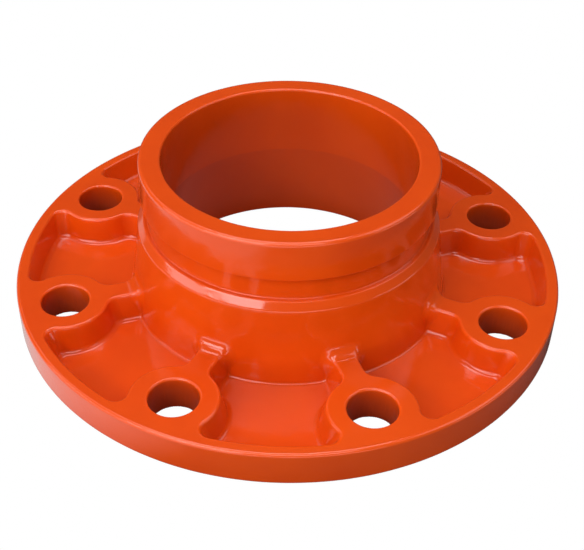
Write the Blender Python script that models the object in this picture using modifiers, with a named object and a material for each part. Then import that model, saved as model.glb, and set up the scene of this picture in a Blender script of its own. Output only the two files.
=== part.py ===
"""Grooved-end flange adapter for a 114.3 mm pipe, with an eight-hole flange.

The object is one iron casting, painted all over, so it is one solid and one
named object. The flange's sealing face lies on z = 0 with its centre at the
origin, and the grooved pipe end points up +Z. Units are metres.
"""

import math

import bmesh
import bpy

MM = 0.001

# Flange: eight through-bolt holes on one circle, straddling the X and Y axes.
FLANGE_RADIUS = 107.5 * MM
FLANGE_THICKNESS = 13.9 * MM
FLANGE_TOP_EDGE = 1.3 * MM
FLANGE_BOTTOM_EDGE = 1.0 * MM
HOLE_COUNT = 8
BOLT_CIRCLE_RADIUS = 90.0 * MM
HOLE_RADIUS = 9.0 * MM
HOLE_EDGE = 0.9 * MM
HOLE_BOTTOM_EDGE = 0.3 * MM

# Lightening pockets: one between each two bolt bosses, open at the top.
POCKET_RADIUS = 102.8 * MM
POCKET_FLOOR = 3.2 * MM
POCKET_DRAFT = math.radians(14.0)
POCKET_EDGE = 1.2 * MM
POCKET_FLOOR_FILLET = 2.0 * MM
BOSS_RADIUS = 16.2 * MM
BOSS_TO_RIM_FILLET = 4.0 * MM
BOSS_TO_RIB_FILLET = 5.0 * MM
RIB_HALF_WIDTH = 4.3 * MM

# Grooved pipe end.
HEIGHT = 62.5 * MM
PIPE_RADIUS = 57.15 * MM
GASKET_SEAT = 15.88 * MM
GROOVE_WIDTH = 9.53 * MM
GROOVE_DEPTH = 2.11 * MM
END_EDGE = 1.5 * MM

# Hub: a sloped shoulder under the groove, then a steep cone down to the flange.
SHOULDER_TOP_RADIUS = 56.6 * MM
SHOULDER_RADIUS = 58.9 * MM
SHOULDER_DROP = 2.9 * MM
HUB_FOOT_RADIUS = 63.0 * MM
HUB_FOOT_FILLET = 1.2 * MM

# Bore: straight from the pipe end, then opening to a wider mouth at the flange.
BORE_RADIUS = 48.6 * MM
BORE_EDGE = 0.9 * MM
BORE_STRAIGHT_END = 33.9 * MM
MOUTH_RADIUS = 53.3 * MM
MOUTH_EDGE = 0.3 * MM

# How finely the round shapes are drawn, and how the pieces of the model overlap.
TURN_STEPS = 72
HOLE_STEPS = 24
ARC_STEP = math.radians(45.0)
OVERSHOOT = 1.0 * MM
MERGE_DISTANCE = 0.00001

# The disc and its pockets reach inward into the neck's wall, and the neck has a
# thin skirt that lies inside the floor of the pockets, so the two overlap.
WEB_INNER_RADIUS = 56.0 * MM
POCKET_INNER_RADIUS = 52.0 * MM
NECK_FACE_RADIUS = 58.0 * MM
SKIRT_RADIUS = 72.0 * MM
SKIRT_TOP = 2.4 * MM
SKIRT_BOTTOM = 1.4 * MM

# A pocket cutter's floor runs this far in from its wall, and its mouth flares out
# by this much above the flange.
POCKET_FLOOR_REACH = 7.4 * MM
POCKET_FLARE = 3.6 * MM

PAINT_COLOR = (0.72, 0.075, 0.012, 1.0)
PAINT_ROUGHNESS = 0.28


def clear_scene():
    """Remove every object that the file opened with."""
    for obj in list(bpy.data.objects):
        bpy.data.objects.remove(obj, do_unlink=True)


def make_collection(name):
    """Return a new collection linked to the scene."""
    collection = bpy.data.collections.new(name)
    bpy.context.scene.collection.children.link(collection)
    return collection


def rounded(corners):
    """Return a polyline through (x, y, radius) corners, with each radius as an arc."""
    points = []
    for index, (x, y, radius) in enumerate(corners):
        if radius == 0.0:
            points.append((x, y))
            continue
        before_x, before_y, _ = corners[index - 1]
        after_x, after_y, _ = corners[(index + 1) % len(corners)]
        to_before = math.atan2(before_y - y, before_x - x)
        to_after = math.atan2(after_y - y, after_x - x)
        opening = (to_after - to_before) % (2.0 * math.pi)
        turn = 1.0 if opening < math.pi else -1.0
        half = min(opening, 2.0 * math.pi - opening) / 2.0
        middle = to_before + turn * half
        center_x = x + radius / math.sin(half) * math.cos(middle)
        center_y = y + radius / math.sin(half) * math.sin(middle)
        sweep = math.pi - 2.0 * half
        steps = max(1, math.ceil(sweep / ARC_STEP))
        first = to_before - turn * math.pi / 2.0
        for step in range(steps + 1):
            angle = first - turn * sweep * step / steps
            points.append((center_x + radius * math.cos(angle), center_y + radius * math.sin(angle)))
    return points


def turned_object(name, corners, collection):
    """Turn a closed (radius, height, edge radius) outline about Z."""
    outline = rounded(corners)
    mesh = bpy.data.meshes.new(name)
    vertices = [(radius, 0.0, height) for radius, height in outline]
    edges = [(i, (i + 1) % len(outline)) for i in range(len(outline))]
    mesh.from_pydata(vertices, edges, [])
    obj = bpy.data.objects.new(name, mesh)
    collection.objects.link(obj)
    screw = obj.modifiers.new("turn", "SCREW")
    screw.axis = "Z"
    screw.angle = 2.0 * math.pi
    screw.steps = TURN_STEPS
    screw.render_steps = TURN_STEPS
    screw.use_merge_vertices = True
    screw.merge_threshold = MERGE_DISTANCE
    return obj


def add_loft(bm, sections):
    """Skin closed sections of equal length, lowest first, and cap both ends.

    Each section is (height, points), its points running anticlockwise.
    """
    rings = []
    for height, points in sections:
        rings.append([bm.verts.new((x, y, height)) for x, y in points])
    for lower, upper in zip(rings, rings[1:]):
        count = len(lower)
        for i in range(count):
            j = (i + 1) % count
            bm.faces.new((lower[i], lower[j], upper[j], upper[i]))
    bm.faces.new(reversed(rings[0]))
    bm.faces.new(rings[-1])


def turned_about_z(points, angle):
    """Turn plan points about the origin."""
    cos_a = math.cos(angle)
    sin_a = math.sin(angle)
    return [(x * cos_a - y * sin_a, x * sin_a + y * cos_a) for x, y in points]


def arc(center, radius, start, end, steps):
    """Return points along an arc, both ends included."""
    points = []
    for step in range(steps + 1):
        angle = start + (end - start) * step / steps
        points.append((center[0] + radius * math.cos(angle), center[1] + radius * math.sin(angle)))
    return points


def pocket_side(inset):
    """Return one side of a pocket, from the hub out to the rim.

    It is drawn beside a boss whose centre lies on +X, on the boss's -Y side. The
    inset moves the pocket's wall in from its outline at the flange's top.
    """
    rim = POCKET_RADIUS - inset
    boss = BOSS_RADIUS + inset
    rib = RIB_HALF_WIDTH + inset
    center = (BOLT_CIRCLE_RADIUS, 0.0)

    # Fillet where the rib's straight side runs into the round boss.
    waist_radius = BOSS_TO_RIB_FILLET
    waist_reach = math.sqrt((boss + waist_radius) ** 2 - (rib + waist_radius) ** 2)
    waist = (center[0] - waist_reach, -(rib + waist_radius))
    to_boss = math.atan2(-waist[1], center[0] - waist[0])

    # Fillet where the boss runs into the rim.
    corner_radius = BOSS_TO_RIM_FILLET
    to_center = rim - corner_radius
    corner_x = (to_center ** 2 + center[0] ** 2 - (boss + corner_radius) ** 2) / (2.0 * center[0])
    corner = (corner_x, -math.sqrt(to_center ** 2 - corner_x ** 2))
    corner_from_boss = math.atan2(corner[1], corner[0] - center[0])
    corner_to_rim = math.atan2(corner[1], corner[0])

    points = [(POCKET_INNER_RADIUS, -rib)]
    points += arc(waist, waist_radius, math.pi / 2.0, to_boss, 2)
    points += arc(center, boss, to_boss - math.pi, corner_from_boss, 5)[1:]
    points += arc(corner, corner_radius, corner_from_boss + math.pi, corner_to_rim, 3)[1:]
    return points


def pocket_outline(inset):
    """Return a whole pocket's outline, anticlockwise, centred on +X."""
    half_pitch = math.pi / HOLE_COUNT
    side = turned_about_z(pocket_side(inset), half_pitch)
    other = [(x, -y) for x, y in side]
    rim = POCKET_RADIUS - inset
    start = math.atan2(other[-1][1], other[-1][0])
    rim_arc = arc((0.0, 0.0), rim, start, -start, 4)
    return other + rim_arc[1:-1] + side[::-1]


def make_pocket_cutter(collection):
    """Make the eight pockets, with drafted walls, filleted floors and eased top edges."""
    top = FLANGE_THICKNESS
    depth = top - POCKET_FLOOR
    foot_inset = depth * math.tan(POCKET_DRAFT)
    walls = rounded([
        (foot_inset + POCKET_FLOOR_REACH, POCKET_FLOOR, 0.0),
        (foot_inset, POCKET_FLOOR, POCKET_FLOOR_FILLET),
        (0.0, top, POCKET_EDGE),
        (-POCKET_FLARE, top + OVERSHOOT, 0.0),
    ])
    bm = bmesh.new()
    for index in range(HOLE_COUNT):
        angle = 2.0 * math.pi * index / HOLE_COUNT
        sections = []
        for inset, height in walls[1:]:
            sections.append((height, turned_about_z(pocket_outline(inset), angle)))
        add_loft(bm, sections)
    return cutter_object("pocket_cutter", bm, collection)


def make_hole_cutter(collection):
    """Make the eight bolt holes, eased at both faces."""
    top = FLANGE_THICKNESS
    walls = rounded([
        (HOLE_RADIUS + HOLE_BOTTOM_EDGE + OVERSHOOT, -OVERSHOOT, 0.0),
        (HOLE_RADIUS, HOLE_BOTTOM_EDGE, HOLE_BOTTOM_EDGE),
        (HOLE_RADIUS, top - HOLE_EDGE, HOLE_EDGE),
        (HOLE_RADIUS + HOLE_EDGE + OVERSHOOT, top + OVERSHOOT, 0.0),
    ])
    bm = bmesh.new()
    for index in range(HOLE_COUNT):
        angle = 2.0 * math.pi * (index + 0.5) / HOLE_COUNT
        center = (BOLT_CIRCLE_RADIUS * math.cos(angle), BOLT_CIRCLE_RADIUS * math.sin(angle))
        sections = []
        for radius, height in walls:
            sections.append((height, arc(center, radius, 0.0, 2.0 * math.pi, HOLE_STEPS)[:-1]))
        add_loft(bm, sections)
    return cutter_object("hole_cutter", bm, collection)


def cutter_object(name, bm, collection):
    """Turn a bmesh into an object in the cutters' collection."""
    mesh = bpy.data.meshes.new(name)
    bm.to_mesh(mesh)
    bm.free()
    obj = bpy.data.objects.new(name, mesh)
    collection.objects.link(obj)
    return obj


def make_flange(collection):
    """Make the flange disc, whose inner edge lies inside the neck's wall."""
    return turned_object("grooved_flange_adapter", [
        (WEB_INNER_RADIUS, FLANGE_THICKNESS, 0.0),
        (FLANGE_RADIUS, FLANGE_THICKNESS, FLANGE_TOP_EDGE),
        (FLANGE_RADIUS, 0.0, FLANGE_BOTTOM_EDGE),
        (WEB_INNER_RADIUS, 0.0, 0.0),
    ], collection)


def make_neck(collection):
    """Make the lip, groove, shoulder and hub, with the bore up through them."""
    groove_top = HEIGHT - GASKET_SEAT
    groove_bottom = groove_top - GROOVE_WIDTH
    groove_radius = PIPE_RADIUS - GROOVE_DEPTH
    shoulder_foot = groove_bottom - SHOULDER_DROP
    return turned_object("neck", [
        (BORE_RADIUS, HEIGHT, BORE_EDGE),
        (PIPE_RADIUS, HEIGHT, END_EDGE),
        (PIPE_RADIUS, groove_top, 0.0),
        (groove_radius, groove_top, 0.0),
        (groove_radius, groove_bottom, 0.0),
        (SHOULDER_TOP_RADIUS, groove_bottom, 0.0),
        (SHOULDER_RADIUS, shoulder_foot, 0.0),
        (HUB_FOOT_RADIUS, POCKET_FLOOR, HUB_FOOT_FILLET),
        (SKIRT_RADIUS, SKIRT_TOP, 0.0),
        (SKIRT_RADIUS, SKIRT_BOTTOM, 0.0),
        (NECK_FACE_RADIUS, SKIRT_BOTTOM, 0.0),
        (NECK_FACE_RADIUS, 0.0, 0.0),
        (MOUTH_RADIUS, 0.0, MOUTH_EDGE),
        (BORE_RADIUS, BORE_STRAIGHT_END, 0.0),
    ], collection)


def add_boolean(obj, operation, operand):
    """Cut or join obj with a helper object, which is then hidden."""
    modifier = obj.modifiers.new(operand.name, "BOOLEAN")
    modifier.operation = operation
    modifier.solver = "EXACT"
    modifier.object = operand
    operand.hide_render = True
    operand.display_type = "WIRE"


def make_paint():
    """Make the glossy orange-red paint."""
    material = bpy.data.materials.new("orange_paint")
    material.use_nodes = True
    shader = material.node_tree.nodes["Principled BSDF"]
    shader.inputs["Base Color"].default_value = PAINT_COLOR
    shader.inputs["Roughness"].default_value = PAINT_ROUGHNESS
    shader.inputs["Metallic"].default_value = 0.0
    return material


def main():
    """Build the adapter."""
    clear_scene()
    parts = make_collection("grooved_flange_adapter")
    cutters = make_collection("cutters")

    adapter = make_flange(parts)
    add_boolean(adapter, "DIFFERENCE", make_pocket_cutter(cutters))
    add_boolean(adapter, "DIFFERENCE", make_hole_cutter(cutters))
    add_boolean(adapter, "UNION", make_neck(cutters))

    adapter.data.materials.append(make_paint())


main()
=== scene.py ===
"""The looks of a grooved-end flange adapter: one iron casting in glossy orange-red paint.

The casting is drawn as a signed distance field, so that every rib, boss, pocket and
edge runs into the next with the soft fillets of a sand casting. One sector, from the
middle of a boss to the middle of the pocket beside it, is turned into a mesh and then
mirrored and turned around the axis. The field works in millimetres, the scene in metres.
"""

import math
from itertools import product

import bmesh
import bpy
import numpy as np
from mathutils import Matrix, Vector


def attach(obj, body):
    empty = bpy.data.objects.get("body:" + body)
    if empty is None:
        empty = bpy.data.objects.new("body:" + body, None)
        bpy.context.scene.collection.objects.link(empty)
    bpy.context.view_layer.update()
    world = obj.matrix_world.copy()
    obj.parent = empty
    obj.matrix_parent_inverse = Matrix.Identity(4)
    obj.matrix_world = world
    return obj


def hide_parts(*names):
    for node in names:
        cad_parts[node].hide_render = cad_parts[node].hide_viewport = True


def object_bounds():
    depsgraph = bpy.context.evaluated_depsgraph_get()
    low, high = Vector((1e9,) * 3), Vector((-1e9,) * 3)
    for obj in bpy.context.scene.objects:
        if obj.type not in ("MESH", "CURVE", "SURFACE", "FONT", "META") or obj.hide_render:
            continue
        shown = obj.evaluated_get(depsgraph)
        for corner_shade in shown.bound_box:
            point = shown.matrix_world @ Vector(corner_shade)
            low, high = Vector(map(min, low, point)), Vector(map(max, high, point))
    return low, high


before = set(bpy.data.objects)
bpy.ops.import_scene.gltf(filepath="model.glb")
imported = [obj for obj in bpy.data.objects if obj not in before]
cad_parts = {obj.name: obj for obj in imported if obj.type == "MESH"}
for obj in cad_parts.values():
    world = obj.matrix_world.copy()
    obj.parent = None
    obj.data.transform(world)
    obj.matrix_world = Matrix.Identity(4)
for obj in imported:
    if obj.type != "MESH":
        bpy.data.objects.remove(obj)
CAD_LOW, CAD_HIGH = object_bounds()

MM = 0.001
CAD_NODE = "grooved_flange_adapter"
WHITE = (1.0, 1.0, 1.0, 1.0)

# ---------------------------------------------------------------- dimensions, mm
FLANGE_RADIUS = (CAD_HIGH[0] - CAD_LOW[0]) / 2.0 / MM
HEIGHT = (CAD_HIGH[2] - CAD_LOW[2]) / MM
FLANGE_THICKNESS = 13.9
RIM_TOP_EDGE = 1.3
RIM_BOTTOM_EDGE = 1.0

HOLE_COUNT = 8
BOLT_CIRCLE_RADIUS = 90.0
HOLE_RADIUS = 9.0
HOLE_EDGE = 0.9
HOLE_BOTTOM_EDGE = 0.3
PITCH = 2.0 * math.pi / HOLE_COUNT
FIRST_HOLE = PITCH / 2.0

POCKET_RADIUS = 102.8
POCKET_FLOOR = 3.2
POCKET_DRAFT = math.radians(14.0)
POCKET_EDGE = 1.2
FLOOR_FILLET = 2.0
# The pocket's floor rises a little towards its walls.
RUNOUT_REACH = 6.0
RUNOUT_RISE = 0.5
BOSS_RADIUS = 16.2
BOSS_TO_RIM_FILLET = 4.0
BOSS_TO_RIB_FILLET = 5.0
RIB_HALF_WIDTH = 4.3

PIPE_RADIUS = 57.15
GASKET_SEAT = 15.88
GROOVE_WIDTH = 9.53
GROOVE_DEPTH = 2.11
GROOVE_CORNER = 0.5
LIP_TOP_EDGE = 1.5
LIP_LOWER_EDGE = 0.45

SHOULDER_TOP_RADIUS = 56.6
SHOULDER_RADIUS = 58.9
SHOULDER_DROP = 2.9
SHOULDER_TOP_EDGE = 0.5
SHOULDER_EDGE = 1.2
HUB_FOOT_RADIUS = 63.0
# The hub's fillet is small at the pockets' floor and grows to a large one on top of the ribs.
HUB_FOOT_FILLET = 1.2
HUB_RIB_FILLET = 5.5
HUB_FOOT_TOP = POCKET_FLOOR + 2.4
RIB_FOOT = FLANGE_THICKNESS - 1.5

BORE_RADIUS = 48.6
BORE_STRAIGHT_END = 33.9
BORE_BEND = 6.0
MOUTH_RADIUS = 53.3
BORE_TOP_EDGE = 0.9
MOUTH_EDGE = 0.3

# The skin of a sand casting is never quite true: it wanders inward by up to this much,
# as waves that each have a direction and a share of the longest wave's length.
WAVINESS = 0.05
WAVE_LENGTH = 26.0
WAVES = (
    ((0.83, 0.41, 0.37), 1.0),
    ((-0.52, 0.79, 0.61), 0.62),
    ((0.29, -0.67, 0.93), 0.41),
    ((-0.71, -0.33, -0.57), 0.27),
)
WAVE_PHASE = 9.0

# How far down a bolt hole the painted shade takes to reach its full strength.
HOLE_SHADE_DEPTH = 11.0

# ---------------------------------------------------------------- mesh quality
GRID_STEP = 0.45
GRID_MARGIN = 1.4
SECTOR_STEPS = 84
SECTOR_FACES = 11600
# A surface that turns by more radians in a millimetre than this is a fillet or an edge.
TIGHT_BEND = 0.14
SLOPE_STEP = 0.02
LEAST_SLOPE = 0.5
BEND_STEP = 0.15
SEAM_MERGE = 2e-7

# ---------------------------------------------------------------- paint
# Colours are linear. The paint is blotched between the first two and lighter on convex edges. Concave corners
# are darkened with painted shade, and the bolt holes with painted shade that deepens down their walls.
PAINT_DEEP = (0.71, 0.062, 0.0014, 1.0)
PAINT_LIGHT = (0.77, 0.075, 0.0020, 1.0)
EDGE_COLOUR = (0.80, 0.082, 0.0060, 1.0)
# Painted shade for concave corners.
CORNER_SHADE_COLOUR = (0.64, 0.049, 0.0020, 1.0)
# Painted shade for the walls deep in the bolt holes.
HOLE_SHADE_COLOUR = (0.30, 0.028, 0.0060, 1.0)
EDGE_BEND = (0.15, 0.9)
EDGE_SHARE = 0.7
CORNER_SHADE_BEND = (-0.08, -0.4)
CORNER_SHADE_SHARE = 0.35
HOLE_SHADE_SHARE = 0.7
ENAMEL_ROUGHNESS = (0.30, 0.42)
ENAMEL_SHINE = 0.1
COAT_ROUGHNESS = 0.085

# Sizes of the paint's blotches, its orange peel and its grain, in metres.
BLOTCH_SIZE = 0.035
PEEL_SIZE = 0.0045
PEEL_DEPTH = 0.00007
GRAIN_SIZE = 0.0009
GRAIN_DEPTH = 0.000012
# The middle part of each noise, which is spread over the whole effect.
BLOTCH_RANGE = (0.35, 0.65)
GRAIN_RANGE = (0.3, 0.7)

# ---------------------------------------------------------------- stage, m
FLOOR_SIZE = 4.0
FLOOR_DROP = 0.0002
FLOOR_GREY = 0.10
FLOOR_ROUGHNESS = 0.9
FLOOR_SHINE = 0.1
# The floor glows, as painted bounce light for the casting, in a band at the front left and a little inside
# the bore.
FLOOR_GLOW = 0.65
GLOW_AZIMUTH = -55.0
GLOW_RAMP = (0.090, 0.110)
BORE_GLOW = 0.08
BORE_RAMP = (0.044, 0.054)
SURROUND = 0.06

# Softboxes stand around the casting: name, azimuth, elevation, width, height (degrees), radiance.
LIGHT_DISTANCE = 1.3
LIGHT_AIM_HEIGHT = 0.02
SOFTBOXES = (
    ("window", -37.0, 36.0, 38.0, 14.0, 6.8),
    ("overhead", -12.0, 58.0, 56.0, 13.0, 4.9),
    ("ceiling", -162.0, 74.0, 36.0, 20.0, 4.4),
    ("left_wall", -75.0, 23.0, 34.0, 11.0, 3.6),
    ("back_left", -118.0, 50.0, 44.0, 26.0, 0.7),
    ("right_wall", 95.0, 48.0, 44.0, 30.0, 1.5),
    ("table_front", -10.0, 3.0, 94.0, 14.0, 2.7),
    ("table_left", -72.0, 3.0, 36.0, 14.0, 0.8),
    ("table_right", 80.0, 3.0, 36.0, 14.0, 1.7),
)

# The camera stands about half a metre away and looks down at the casting. Its distance
# is in flange radii.
LENS = 68.02
CAMERA_DISTANCE = 4.2194
CAMERA_AZIMUTH = math.radians(3.11)
CAMERA_ELEVATION = math.radians(38.99)
CAMERA_PAN = math.radians(0.21)
CAMERA_TILT = math.radians(0.39)
CAMERA_ROLL = math.radians(0.89)


# ================================================================ distance field
def join(a, b, cosine, radius):
    """Unite two solids with a rolling-ball fillet. The cosine is of the angle between their normals."""
    u = radius - a
    v = radius - b
    along_a = (u - cosine * v) / (1.0 - cosine * cosine)
    along_b = (v - cosine * u) / (1.0 - cosine * cosine)
    reach = np.sqrt(np.maximum(along_a ** 2 + along_b ** 2 + 2.0 * cosine * along_a * along_b, 0.0))
    return np.where((along_a > 0.0) & (along_b > 0.0), radius - reach, np.minimum(a, b))


def common(a, b, cosine, radius):
    """Keep what two solids share, with the edge between them rounded."""
    return -join(-a, -b, cosine, radius)


def smooth_step(t):
    """Ease from 0 to 1 as t does."""
    t = np.clip(t, 0.0, 1.0)
    return t * t * (3.0 - 2.0 * t)


def filleted_corner(x, y, center_x, center_y, radius, from_x, from_y, to_x, to_y, plain):
    """Put a fillet, drawn about a centre between two directions, over a plain plan corner."""
    dx = x - center_x
    dy = y - center_y
    inside = (from_x * dy - from_y * dx > 0.0) & (dx * to_y - dy * to_x > 0.0)
    return np.where(inside, radius - np.hypot(dx, dy), plain)


def web_plan(x, y, inset):
    """Distance in plan to a boss on +X with its rib and the rim, all grown by the inset."""
    boss = BOSS_RADIUS + inset
    rib = RIB_HALF_WIDTH + inset
    rim = POCKET_RADIUS - inset
    to_boss = np.hypot(x - BOLT_CIRCLE_RADIUS, y) - boss
    to_rib = np.maximum(np.abs(y) - rib, x - BOLT_CIRCLE_RADIUS)

    # Fillet between the rib's straight side and the round boss.
    reach = boss + BOSS_TO_RIB_FILLET
    rise = rib + BOSS_TO_RIB_FILLET
    run = np.sqrt(reach ** 2 - rise ** 2)
    plan = filleted_corner(x, y, BOLT_CIRCLE_RADIUS - run, rise, BOSS_TO_RIB_FILLET,
                           0.0, -1.0, run / reach, -rise / reach, np.minimum(to_boss, to_rib))

    # Fillet between the boss and the rim.
    orbit = rim - BOSS_TO_RIM_FILLET
    reach = boss + BOSS_TO_RIM_FILLET
    center_x = (orbit ** 2 + BOLT_CIRCLE_RADIUS ** 2 - reach ** 2) / (2.0 * BOLT_CIRCLE_RADIUS)
    center_y = np.sqrt(orbit ** 2 - center_x ** 2)
    return filleted_corner(x, y, center_x, center_y, BOSS_TO_RIM_FILLET,
                           (BOLT_CIRCLE_RADIUS - center_x) / reach, -center_y / reach,
                           center_x / orbit, center_y / orbit,
                           np.minimum(plan, rim - np.hypot(x, y)))


def flange_field(x, y, radius, z):
    """The flange with its pockets and bolt holes, running on below its bottom face."""
    lean = math.sin(POCKET_DRAFT)
    inset = np.clip(FLANGE_THICKNESS - z, -GRID_MARGIN, FLANGE_THICKNESS - POCKET_FLOOR + 2.0 * GRID_MARGIN)
    web = web_plan(x, y, inset * math.tan(POCKET_DRAFT)) * math.cos(POCKET_DRAFT)
    runout = RUNOUT_RISE * np.clip(1.0 - web / RUNOUT_REACH, 0.0, 1.0) ** 2
    web = join(web, z - POCKET_FLOOR - runout, lean, FLOOR_FILLET)
    solid = common(z - FLANGE_THICKNESS, web, lean, POCKET_EDGE)
    solid = common(solid, radius - FLANGE_RADIUS, 0.0, RIM_TOP_EDGE)
    hole = HOLE_RADIUS - np.hypot(x - BOLT_CIRCLE_RADIUS, y)
    return common(solid, hole, 0.0, HOLE_EDGE)


def neck_field(radius, z):
    """The grooved pipe end on its hub, running on below the flange's bottom face."""
    groove_top = HEIGHT - GASKET_SEAT
    groove_bottom = groove_top - GROOVE_WIDTH
    core = radius - (PIPE_RADIUS - GROOVE_DEPTH)
    lip = common(radius - PIPE_RADIUS, groove_top - z, 0.0, LIP_LOWER_EDGE)

    shoulder_run = SHOULDER_RADIUS - SHOULDER_TOP_RADIUS
    slope = math.hypot(shoulder_run, SHOULDER_DROP)
    shoulder = ((radius - SHOULDER_TOP_RADIUS) * SHOULDER_DROP + (z - groove_bottom) * shoulder_run) / slope
    shoulder_foot = groove_bottom - SHOULDER_DROP
    taper = (HUB_FOOT_RADIUS - SHOULDER_RADIUS) / (shoulder_foot - POCKET_FLOOR)
    steepness = math.cos(math.atan(taper))
    cone = (radius - SHOULDER_RADIUS - (shoulder_foot - z) * taper) * steepness
    hub = common(cone, shoulder, SHOULDER_DROP / slope, SHOULDER_EDGE)
    hub = common(hub, z - groove_bottom, shoulder_run / slope, SHOULDER_TOP_EDGE)
    neck = join(join(core, lip, 0.0, GROOVE_CORNER), hub, 0.0, GROOVE_CORNER)
    return common(neck, z - HEIGHT, 0.0, LIP_TOP_EDGE)


def bore_field(radius, z):
    """What lies outside the bore: straight from the pipe end, then a widening mouth."""
    taper = (MOUTH_RADIUS - BORE_RADIUS) / BORE_STRAIGHT_END
    steepness = math.cos(math.atan(taper))
    mouth = (MOUTH_RADIUS - z * taper - radius) * steepness
    return common(BORE_RADIUS - radius, mouth, steepness, BORE_BEND)


def sector_field(radius, angle, z):
    """The casting in one sector: the angle runs from a boss to the middle of a pocket."""
    x = radius * np.cos(angle)
    y = radius * np.sin(angle)
    taper = (HUB_FOOT_RADIUS - SHOULDER_RADIUS) / (HEIGHT - GASKET_SEAT - GROOVE_WIDTH - POCKET_FLOOR)
    share = smooth_step((z - HUB_FOOT_TOP) / (RIB_FOOT - HUB_FOOT_TOP))
    hub_fillet = HUB_FOOT_FILLET + (HUB_RIB_FILLET - HUB_FOOT_FILLET) * share
    solid = join(flange_field(x, y, radius, z), neck_field(radius, z), math.sin(math.atan(taper)), hub_fillet)
    bottom_edge = np.where(radius > BOLT_CIRCLE_RADIUS + HOLE_RADIUS + RIM_BOTTOM_EDGE,
                           RIM_BOTTOM_EDGE, HOLE_BOTTOM_EDGE)
    solid = common(solid, -z, 0.0, bottom_edge)
    bore_edge = np.where(z > FLANGE_THICKNESS, BORE_TOP_EDGE, MOUTH_EDGE)
    return common(solid, bore_field(radius, z), 0.0, bore_edge)


def wander(points):
    """How far the cast skin lies inside its true shape, as slow waves that never repeat."""
    total = 0.0
    for heading, scale in WAVES:
        turns = points @ np.array(heading) * (2.0 * math.pi / (WAVE_LENGTH * scale))
        total = total + np.sin(turns + WAVE_PHASE * scale)
    return WAVINESS * (0.5 + 0.5 * total / len(WAVES))


def casting_field(points):
    """The whole casting, in millimetres, for rows of x, y, z."""
    radius = np.hypot(points[:, 0], points[:, 1])
    angle = np.arctan2(points[:, 1], points[:, 0]) - FIRST_HOLE
    angle = np.abs(angle - PITCH * np.round(angle / PITCH))
    return sector_field(radius, angle, points[:, 2])


def waved_field(points):
    """The whole casting with its slow waves."""
    return casting_field(points) + wander(points)


def slope_of(field, points, step=SLOPE_STEP):
    """The field's gradient by central differences."""
    gradient = np.empty_like(points)
    for axis in range(3):
        offset = np.zeros(3)
        offset[axis] = step
        gradient[:, axis] = (field(points + offset) - field(points - offset)) / (2.0 * step)
    return gradient


def bend_of(field, points, step=BEND_STEP):
    """The sum of the surface's two curvatures, per mm: above zero on edges, below in corners."""
    total = -6.0 * field(points)
    for axis in range(3):
        offset = np.zeros(3)
        offset[axis] = step
        total = total + field(points + offset) + field(points - offset)
    return total / step ** 2


def hole_shade_share(points):
    """From 0 on the faces to 1 deep in a bolt hole: how much painted shade darkens the hole's wall."""
    angle = np.arctan2(points[:, 1], points[:, 0]) - FIRST_HOLE
    angle = angle - PITCH * np.round(angle / PITCH)
    radius = np.hypot(points[:, 0], points[:, 1])
    out = np.hypot(radius * np.cos(angle) - BOLT_CIRCLE_RADIUS, radius * np.sin(angle))
    depth = smooth_step((FLANGE_THICKNESS - points[:, 2]) / HOLE_SHADE_DEPTH)
    return np.where(out < HOLE_RADIUS + HOLE_BOTTOM_EDGE, depth, 0.0)


def settle(field, points, rounds=4):
    """Move points along the gradient until they lie on the surface.

    The least slope keeps a point at a sharp crease, where the gradient is short, from flying off.
    """
    for _ in range(rounds):
        gradient = slope_of(field, points)
        size = np.maximum((gradient ** 2).sum(axis=1), LEAST_SLOPE ** 2)
        points = points - gradient * (field(points) / size)[:, None]
    return points


# ================================================================ from field to mesh
def surface_net(values):
    """Mesh the zero level of a grid of values: one vertex a cell, one quad a crossed edge."""
    cells = tuple(n - 1 for n in values.shape)
    total = np.zeros(cells + (3,))
    count = np.zeros(cells, np.int32)
    inside = values < 0.0
    crossings = []
    for axis in range(3):
        lower = [slice(None)] * 3
        upper = [slice(None)] * 3
        lower[axis] = slice(None, -1)
        upper[axis] = slice(1, None)
        low = values[tuple(lower)]
        high = values[tuple(upper)]
        crossed = inside[tuple(lower)] != inside[tuple(upper)]
        share = np.where(crossed, low / np.where(crossed, low - high, 1.0), 0.0)
        others = [(axis + 1) % 3, (axis + 2) % 3]
        for shift in product((0, 1), repeat=2):
            window = [slice(None)] * 3
            for other, step in zip(others, shift):
                window[other] = slice(step, step + cells[other])
            window = tuple(window)
            count += crossed[window]
            total[..., axis] += share[window]
            for other, step in zip(others, shift):
                total[..., other] += step * crossed[window]
        crossings.append((crossed, inside[tuple(lower)]))

    active = count > 0
    numbers = np.full(cells, -1, np.int64)
    numbers[active] = np.arange(active.sum())
    vertices = np.argwhere(active) + total[active] / count[active][:, None]

    quads = []
    for axis, (crossed, low_inside) in enumerate(crossings):
        first, second = (axis + 1) % 3, (axis + 2) % 3
        where = np.argwhere(crossed)
        usable = np.ones(len(where), bool)
        for other in (first, second):
            usable &= (where[:, other] > 0) & (where[:, other] < cells[other])
        where = where[usable]
        corners = []
        for shift in ((-1, -1), (0, -1), (0, 0), (-1, 0)):
            cell = where.copy()
            cell[:, first] += shift[0]
            cell[:, second] += shift[1]
            corners.append(numbers[tuple(cell.T)])
        quad = np.stack(corners, axis=1)
        facing_up = low_inside[tuple(where.T)]
        quads.append(np.where(facing_up[:, None], quad, quad[:, ::-1]))
    return vertices, np.concatenate(quads)


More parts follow.
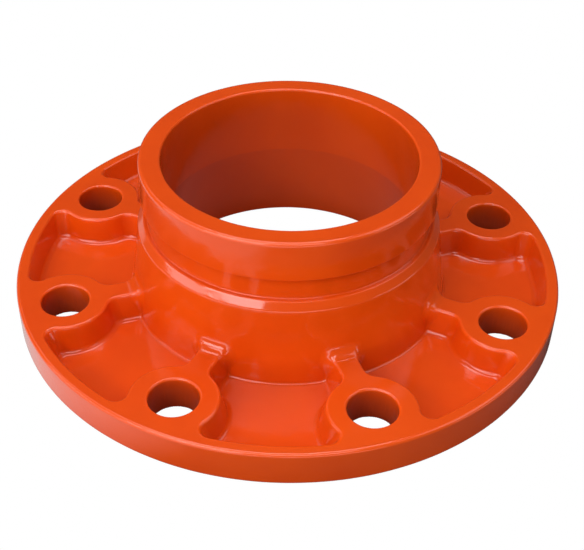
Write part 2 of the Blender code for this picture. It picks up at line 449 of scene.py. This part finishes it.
def sector_mesh():
    """Return the fine mesh of one sector: its points, its quads, and which end plane each is on."""
    half_pitch = PITCH / 2.0
    turn_step = half_pitch / SECTOR_STEPS
    radii = np.arange(BORE_RADIUS - GRID_MARGIN, FLANGE_RADIUS + GRID_MARGIN, GRID_STEP)
    angles = (np.arange(SECTOR_STEPS + 2) - 0.5) * turn_step
    heights = np.arange(-GRID_MARGIN, HEIGHT + GRID_MARGIN, GRID_STEP)
    folded = np.where(angles < 0.0, -angles, angles)
    folded = np.where(folded > half_pitch, PITCH - folded, folded)
    r, a, z = np.meshgrid(radii, folded, heights, indexing="ij")
    index, quads = surface_net(sector_field(r, a, z))

    radius = radii[0] + index[:, 0] * GRID_STEP
    angle = (index[:, 1] - 0.5) * turn_step
    height = heights[0] + index[:, 2] * GRID_STEP
    plane = np.where(angle < 0.5 * turn_step, 0, np.where(angle > half_pitch - 0.5 * turn_step, 1, -1))
    angle = np.where(plane == 0, 0.0, np.where(plane == 1, half_pitch, angle))
    points = np.stack([radius * np.cos(angle), radius * np.sin(angle), height], axis=1)
    return points, quads, plane


def local_field(points):
    """The sector's field for points whose boss lies on +X."""
    radius = np.hypot(points[:, 0], points[:, 1])
    angle = np.arctan2(points[:, 1], points[:, 0])
    angle = np.abs(angle - PITCH * np.round(angle / PITCH))
    return sector_field(radius, angle, points[:, 2])


def unit(vectors):
    """Scale each row to length one."""
    return vectors / np.maximum(np.linalg.norm(vectors, axis=1), 1e-12)[:, None]


def beside_tight_bends(points, quads):
    """Find the vertices on gentle surfaces that border a fillet or a rounded edge."""
    normals = unit(slope_of(local_field, points))
    edges = np.concatenate([quads[:, [0, 1]], quads[:, [1, 2]], quads[:, [2, 3]], quads[:, [3, 0]]])
    first, second = edges[:, 0], edges[:, 1]
    turn = np.arccos(np.clip((normals[first] * normals[second]).sum(axis=1), -1.0, 1.0))
    bend = turn / np.maximum(np.linalg.norm(points[first] - points[second], axis=1), 1e-3)
    tight = np.zeros(len(points), bool)
    tight[first[bend > TIGHT_BEND]] = True
    tight[second[bend > TIGHT_BEND]] = True
    border = np.zeros(len(points), bool)
    border[first[tight[second]]] = True
    border[second[tight[first]]] = True
    return border & ~tight


def thinned(points, quads, kept):
    """Reduce a mesh to triangles, few where it is flat, and leave the kept vertices alone."""
    mesh = bpy.data.meshes.new("sector")
    mesh.from_pydata(points.tolist(), [], quads.tolist())
    obj = bpy.data.objects.new("sector", mesh)
    bpy.context.scene.collection.objects.link(obj)
    group = obj.vertex_groups.new(name="free")
    group.add(np.flatnonzero(~kept).tolist(), 1.0, "REPLACE")
    thin = obj.modifiers.new("thin", "DECIMATE")
    thin.decimate_type = "COLLAPSE"
    thin.vertex_group = "free"
    thin.use_collapse_triangulate = True
    thin.ratio = SECTOR_FACES / (2.0 * len(quads))
    evaluated = obj.evaluated_get(bpy.context.evaluated_depsgraph_get())
    result = bpy.data.meshes.new_from_object(evaluated)
    co = np.empty(len(result.vertices) * 3)
    result.vertices.foreach_get("co", co)
    faces = np.array([p.vertices[:] for p in result.polygons])
    bpy.data.objects.remove(obj)
    bpy.data.meshes.remove(mesh)
    bpy.data.meshes.remove(result)
    return co.reshape(-1, 3), faces


def open_edge_vertices(faces):
    """Return the vertices on edges that only one triangle uses."""
    edges = np.sort(np.concatenate([faces[:, [0, 1]], faces[:, [1, 2]], faces[:, [2, 0]]]), axis=1)
    pairs, uses = np.unique(edges, axis=0, return_counts=True)
    return np.unique(pairs[uses == 1])


def make_casting():
    """Mesh one sector, thin it, settle it on the surface, and repeat it around the axis."""
    points, quads, plane = sector_mesh()
    points = settle(local_field, points)
    kept = beside_tight_bends(points, quads)
    points, faces = thinned(points, quads, kept)

    # The two end planes are where the copies meet, so their vertices lie exactly on them.
    half_pitch = PITCH / 2.0
    rim = open_edge_vertices(faces)
    points = settle(local_field, points)
    angle = np.arctan2(points[rim, 1], points[rim, 0])
    radius = np.hypot(points[rim, 0], points[rim, 1])
    snapped = np.where(angle < half_pitch / 2.0, 0.0, half_pitch)
    points[rim, 0] = radius * np.cos(snapped)
    points[rim, 1] = radius * np.sin(snapped)

    all_points, all_faces = [], []
    for index in range(HOLE_COUNT):
        turn = FIRST_HOLE + index * PITCH
        spin = np.array([[math.cos(turn), math.sin(turn), 0.0], [-math.sin(turn), math.cos(turn), 0.0],
                         [0.0, 0.0, 1.0]])
        for side in (1.0, -1.0):
            start = sum(len(p) for p in all_points)
            all_points.append((points * (1.0, side, 1.0)) @ spin)
            all_faces.append((faces if side > 0.0 else faces[:, ::-1]) + start)
    points = np.concatenate(all_points)
    faces = np.concatenate(all_faces)

    mesh = bpy.data.meshes.new("adapter_casting")
    mesh.from_pydata((points * MM).tolist(), [], faces.tolist())
    bm = bmesh.new()
    bm.from_mesh(mesh)
    bmesh.ops.remove_doubles(bm, verts=bm.verts, dist=SEAM_MERGE)
    bm.to_mesh(mesh)
    bm.free()

    count = len(mesh.vertices)
    co = np.empty(count * 3)
    mesh.vertices.foreach_get("co", co)
    points = settle(waved_field, co.reshape(-1, 3) / MM, rounds=2)
    mesh.vertices.foreach_set("co", (points * MM).ravel())
    mesh.shade_smooth()
    mesh.normals_split_custom_set_from_vertices(unit(slope_of(waved_field, points)).tolist())
    mesh.attributes.new("bend", "FLOAT", "POINT").data.foreach_set("value", bend_of(casting_field, points))
    # How much painted shade darkens each point down the bolt holes.
    mesh.attributes.new("painted_hole_shade", "FLOAT", "POINT").data.foreach_set("value", hole_shade_share(points))
    mesh.update()
    obj = bpy.data.objects.new("adapter_casting", mesh)
    bpy.context.scene.collection.objects.link(obj)
    return obj


# ================================================================ material
def noise(nodes, place, size, detail, roughness=0.5):
    """Return a noise texture's value. The size is that of its blotches, in metres."""
    texture = nodes.new("ShaderNodeTexNoise")
    texture.inputs["Scale"].default_value = 1.0 / size
    texture.inputs["Detail"].default_value = detail
    texture.inputs["Roughness"].default_value = roughness
    nodes.id_data.links.new(place, texture.inputs["Vector"])
    return texture.outputs["Fac"]


def ranged(nodes, value, low, high, to_low, to_high):
    """Spread a value from one range over another, and stop at its ends."""
    spread = nodes.new("ShaderNodeMapRange")
    spread.inputs["From Min"].default_value = low
    spread.inputs["From Max"].default_value = high
    spread.inputs["To Min"].default_value = to_low
    spread.inputs["To Max"].default_value = to_high
    nodes.id_data.links.new(value, spread.inputs["Value"])
    return spread.outputs["Result"]


def blended(nodes, share, first, second):
    """Mix two colours, or two sockets that carry colours."""
    mix = nodes.new("ShaderNodeMix")
    mix.data_type = "RGBA"
    nodes.id_data.links.new(share, mix.inputs["Factor"])
    for name, colour in (("A", first), ("B", second)):
        socket = next(i for i in mix.inputs if i.name == name and i.type == "RGBA")
        if isinstance(colour, tuple):
            socket.default_value = colour
        else:
            nodes.id_data.links.new(colour, socket)
    return next(o for o in mix.outputs if o.type == "RGBA")


def bumped(nodes, height, depth, under=None):
    """Return a normal raised by a height that runs from 0 to 1, its depth given in metres."""
    bump = nodes.new("ShaderNodeBump")
    bump.inputs["Distance"].default_value = depth
    nodes.id_data.links.new(height, bump.inputs["Height"])
    if under is not None:
        nodes.id_data.links.new(under, bump.inputs["Normal"])
    return bump.outputs["Normal"]


def make_paint():
    """Glossy orange-red enamel over a casting."""
    material = bpy.data.materials.new("orange_paint")
    material.use_nodes = True
    nodes = material.node_tree.nodes
    links = material.node_tree.links
    shader = nodes["Principled BSDF"]
    place = nodes.new("ShaderNodeTexCoord").outputs["Object"]

    bend = nodes.new("ShaderNodeAttribute")
    bend.attribute_name = "bend"
    edge = ranged(nodes, bend.outputs["Fac"], *EDGE_BEND, 0.0, EDGE_SHARE)
    # Painted shade: concave corners darken the colour, and so does the depth down a bolt hole.
    corner_shade = ranged(nodes, bend.outputs["Fac"], *CORNER_SHADE_BEND, 0.0, CORNER_SHADE_SHARE)
    thin = nodes.new("ShaderNodeAttribute")
    thin.attribute_name = "painted_hole_shade"
    hole = ranged(nodes, thin.outputs["Fac"], 0.0, 1.0, 0.0, HOLE_SHADE_SHARE)

    blotch = ranged(nodes, noise(nodes, place, BLOTCH_SIZE, 3.0), *BLOTCH_RANGE, 0.0, 1.0)
    colour = blended(nodes, blotch, PAINT_DEEP, PAINT_LIGHT)
    colour = blended(nodes, edge, colour, EDGE_COLOUR)
    # Painted shade in the concave corners.
    colour = blended(nodes, corner_shade, colour, CORNER_SHADE_COLOUR)
    # Painted shade down the bolt holes.
    colour = blended(nodes, hole, colour, HOLE_SHADE_COLOUR)
    links.new(colour, shader.inputs["Base Color"])

    grain = noise(nodes, place, GRAIN_SIZE, 3.0, 0.6)
    links.new(ranged(nodes, grain, *GRAIN_RANGE, *ENAMEL_ROUGHNESS), shader.inputs["Roughness"])
    shader.inputs["Specular IOR Level"].default_value = ENAMEL_SHINE
    shader.inputs["Coat Weight"].default_value = 1.0
    shader.inputs["Coat Roughness"].default_value = COAT_ROUGHNESS

    peel = bumped(nodes, noise(nodes, place, PEEL_SIZE, 2.0), PEEL_DEPTH)
    skin = bumped(nodes, grain, GRAIN_DEPTH, peel)
    links.new(skin, shader.inputs["Normal"])
    links.new(skin, shader.inputs["Coat Normal"])
    return material


# ================================================================ stage
def make_floor():
    """A plain white floor that shows the camera no shade; for the casting it glows as painted bounce light
    from the front left and a little inside the bore.
    """
    bm = bmesh.new()
    bmesh.ops.create_grid(bm, x_segments=1, y_segments=1, size=FLOOR_SIZE)
    mesh = bpy.data.meshes.new("floor")
    bm.to_mesh(mesh)
    bm.free()
    floor = bpy.data.objects.new("floor", mesh)
    bpy.context.scene.collection.objects.link(floor)
    floor.location.z = -FLOOR_DROP

    material = bpy.data.materials.new("floor_white")
    material.use_nodes = True
    nodes = material.node_tree.nodes
    links = material.node_tree.links
    shader = nodes["Principled BSDF"]
    shader.inputs["Base Color"].default_value = (FLOOR_GREY, FLOOR_GREY, FLOOR_GREY, 1.0)
    shader.inputs["Roughness"].default_value = FLOOR_ROUGHNESS
    shader.inputs["Specular IOR Level"].default_value = FLOOR_SHINE
    shader.inputs["Emission Color"].default_value = WHITE
    place = nodes.new("ShaderNodeTexCoord").outputs["Object"]
    # Painted bounce light: the floor glows in a band at the front left and inside the bore.
    reach = nodes.new("ShaderNodeVectorMath")
    reach.operation = "DOT_PRODUCT"
    reach.inputs[1].default_value = direction(GLOW_AZIMUTH, 0.0)
    links.new(place, reach.inputs[0])
    radius = nodes.new("ShaderNodeVectorMath")
    radius.operation = "LENGTH"
    links.new(place, radius.inputs[0])
    larger = nodes.new("ShaderNodeMath")
    larger.operation = "MAXIMUM"
    links.new(ranged(nodes, reach.outputs["Value"], *GLOW_RAMP, 0.0, FLOOR_GLOW), larger.inputs[0])
    links.new(ranged(nodes, radius.outputs["Value"], *BORE_RAMP, BORE_GLOW, 0.0), larger.inputs[1])
    links.new(larger.outputs["Value"], shader.inputs["Emission Strength"])
    glow = nodes.new("ShaderNodeEmission")
    glow.inputs["Color"].default_value = WHITE
    glow.inputs["Strength"].default_value = 1.0
    path = nodes.new("ShaderNodeLightPath")
    mix = nodes.new("ShaderNodeMixShader")
    links.new(path.outputs["Is Camera Ray"], mix.inputs["Fac"])
    links.new(shader.outputs["BSDF"], mix.inputs[1])
    links.new(glow.outputs["Emission"], mix.inputs[2])
    links.new(mix.outputs["Shader"], nodes["Material Output"].inputs["Surface"])
    mesh.materials.append(material)


def direction(azimuth, elevation):
    """Unit vector towards a place in the studio: azimuth 0 is in front, positive to the right."""
    a = math.radians(azimuth)
    e = math.radians(elevation)
    return Vector((math.sin(a) * math.cos(e), -math.cos(a) * math.cos(e), math.sin(e)))


def add_softbox(name, azimuth, elevation, width, height, radiance):
    """A soft rectangular light on a sphere around the casting, its size given in degrees."""
    size_x = 2.0 * LIGHT_DISTANCE * math.tan(math.radians(width) / 2.0)
    size_y = 2.0 * LIGHT_DISTANCE * math.tan(math.radians(height) / 2.0)
    data = bpy.data.lights.new(name, "AREA")
    data.shape = "RECTANGLE"
    data.size = size_x
    data.size_y = size_y
    data.energy = radiance * math.pi * size_x * size_y
    light = bpy.data.objects.new(name, data)
    bpy.context.scene.collection.objects.link(light)
    away = direction(azimuth, elevation)
    light.location = away * LIGHT_DISTANCE + Vector((0.0, 0.0, LIGHT_AIM_HEIGHT))
    light.rotation_euler = away.to_track_quat("Z", "Y").to_euler()
    return light


def make_world():
    """A dim, plain surround, which is white to the camera as the floor is."""
    world = bpy.data.worlds.new("studio")
    world.use_nodes = True
    nodes = world.node_tree.nodes
    links = world.node_tree.links
    surround = nodes["Background"]
    surround.inputs["Color"].default_value = WHITE
    surround.inputs["Strength"].default_value = SURROUND
    backdrop = nodes.new("ShaderNodeBackground")
    backdrop.inputs["Color"].default_value = WHITE
    backdrop.inputs["Strength"].default_value = 1.0
    path = nodes.new("ShaderNodeLightPath")
    mix = nodes.new("ShaderNodeMixShader")
    links.new(path.outputs["Is Camera Ray"], mix.inputs["Fac"])
    links.new(surround.outputs["Background"], mix.inputs[1])
    links.new(backdrop.outputs["Background"], mix.inputs[2])
    links.new(mix.outputs["Shader"], nodes["World Output"].inputs["Surface"])
    bpy.context.scene.world = world


def make_camera():
    """Look down at the flange face's centre, turned a little aside from it."""
    distance = CAMERA_DISTANCE * FLANGE_RADIUS * MM
    back = Vector((math.sin(CAMERA_AZIMUTH) * math.cos(CAMERA_ELEVATION),
                   -math.cos(CAMERA_AZIMUTH) * math.cos(CAMERA_ELEVATION),
                   math.sin(CAMERA_ELEVATION)))
    right = Vector((math.cos(CAMERA_AZIMUTH), math.sin(CAMERA_AZIMUTH), 0.0))
    up = back.cross(right)
    location = back * distance
    target = right * distance * math.tan(CAMERA_PAN) + up * distance * math.tan(CAMERA_TILT)
    back = (location - target).normalized()
    right = up.cross(back).normalized()
    up = back.cross(right)
    rolled_right = right * math.cos(CAMERA_ROLL) + up * math.sin(CAMERA_ROLL)
    rolled_up = up * math.cos(CAMERA_ROLL) - right * math.sin(CAMERA_ROLL)
    pose = Matrix((rolled_right, rolled_up, back)).transposed().to_4x4()
    pose.translation = location

    data = bpy.data.cameras.new("camera")
    data.lens = LENS
    camera = bpy.data.objects.new("camera", data)
    bpy.context.scene.collection.objects.link(camera)
    camera.matrix_world = pose
    bpy.context.scene.camera = camera


def main():
    """Build the casting and its stage."""
    casting = make_casting()
    casting.data.materials.append(make_paint())
    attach(casting, "root")
    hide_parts(CAD_NODE)

    make_floor()
    make_world()
    for box in SOFTBOXES:
        add_softbox(*box)
    make_camera()
    bpy.context.scene.view_settings.view_transform = "Standard"


main()
